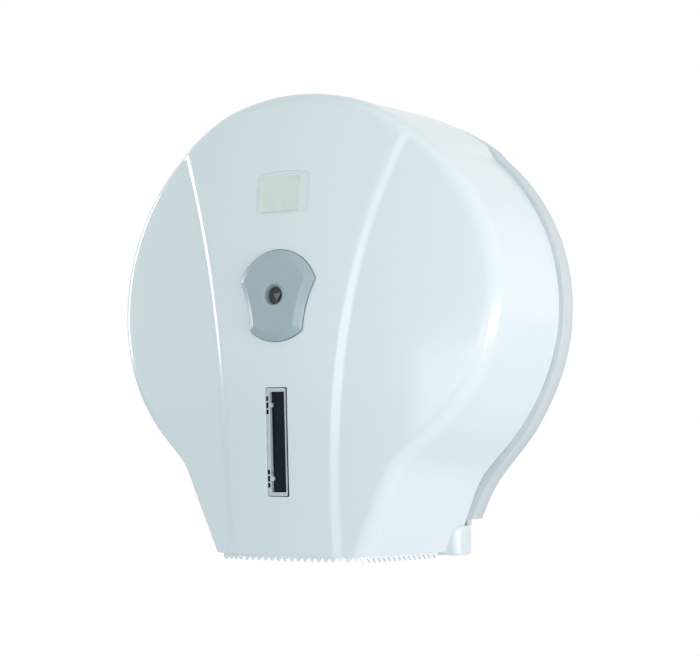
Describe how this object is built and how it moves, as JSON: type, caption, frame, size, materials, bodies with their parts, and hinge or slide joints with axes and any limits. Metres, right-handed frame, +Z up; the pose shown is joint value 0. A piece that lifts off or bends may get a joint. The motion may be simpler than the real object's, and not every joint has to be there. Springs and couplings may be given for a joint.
{
  "type": "jumbo toilet roll dispenser",
  "caption": "Wall-mounted drum-shaped dispenser for a large toilet roll: hinged hooded cover with keyed lock, level window and serrated tear edge, and a turning hub on a fixed spindle.",
  "frame": {"origin": "on the wall plane at the spindle's axis, which is the middle of the four wall screws", "axes": "+Z up, -Y out of the wall towards the user, +X to the right seen from the front"},
  "size_m": [0.27, 0.1088, 0.2684],
  "materials": {
    "cover_plastic": "glossy moulded",
    "back_plastic": "satin moulded",
    "white_plastic": "satin moulded",
    "hub_plastic": "satin moulded",
    "washer_plastic": "satin",
    "lock_plastic": "fine satin",
    "plug_plastic": "satin",
    "housing_plastic": "satin",
    "smoked_lens": "smoked clear plastic",
    "badge_plastic": "satin",
    "strip_plastic": "milky, slightly clear",
    "steel": "zinc plated"
  },
  "bodies": {
    "base": {"back_plate": "back_plastic", "hinge_pins": "steel", "spindle_post": "white_plastic", "post_screws": "steel", "thrust_washer": "washer_plastic", "hub_retainer": "steel", "lock_keeper": "steel", "keeper_screws": "steel"},
    "cover": {"front_cover": "cover_plastic", "lock_plate": "lock_plastic", "lock_housing": "housing_plastic", "housing_screws": "steel", "lock_washer": "steel", "window_lens": "smoked_lens", "badge_plate": "badge_plastic", "tear_strip": "strip_plastic", "strip_rivets": "strip_plastic"},
    "hub": {"roll_hub": "hub_plastic"},
    "lock": {"lock_core": "plug_plastic", "lock_cam": "steel", "cam_screw": "steel"}
  },
  "joints": [
    {"name": "cover_hinge", "type": "hinge", "parent": "base", "child": "cover", "pos_m": [0, -0.014, -0.135], "axis": [1, 0, 0], "range_deg": [0, 88]},
    {"name": "hub_spin", "type": "hinge", "parent": "base", "child": "hub", "pos_m": [0, -0.045, 0], "axis": [0, 1, 0], "continuous": true},
    {"name": "lock_turn", "type": "hinge", "parent": "cover", "child": "lock", "pos_m": [0, -0.095, 0.0028], "axis": [0, 1, 0], "range_deg": [0, 90]}
  ]
}
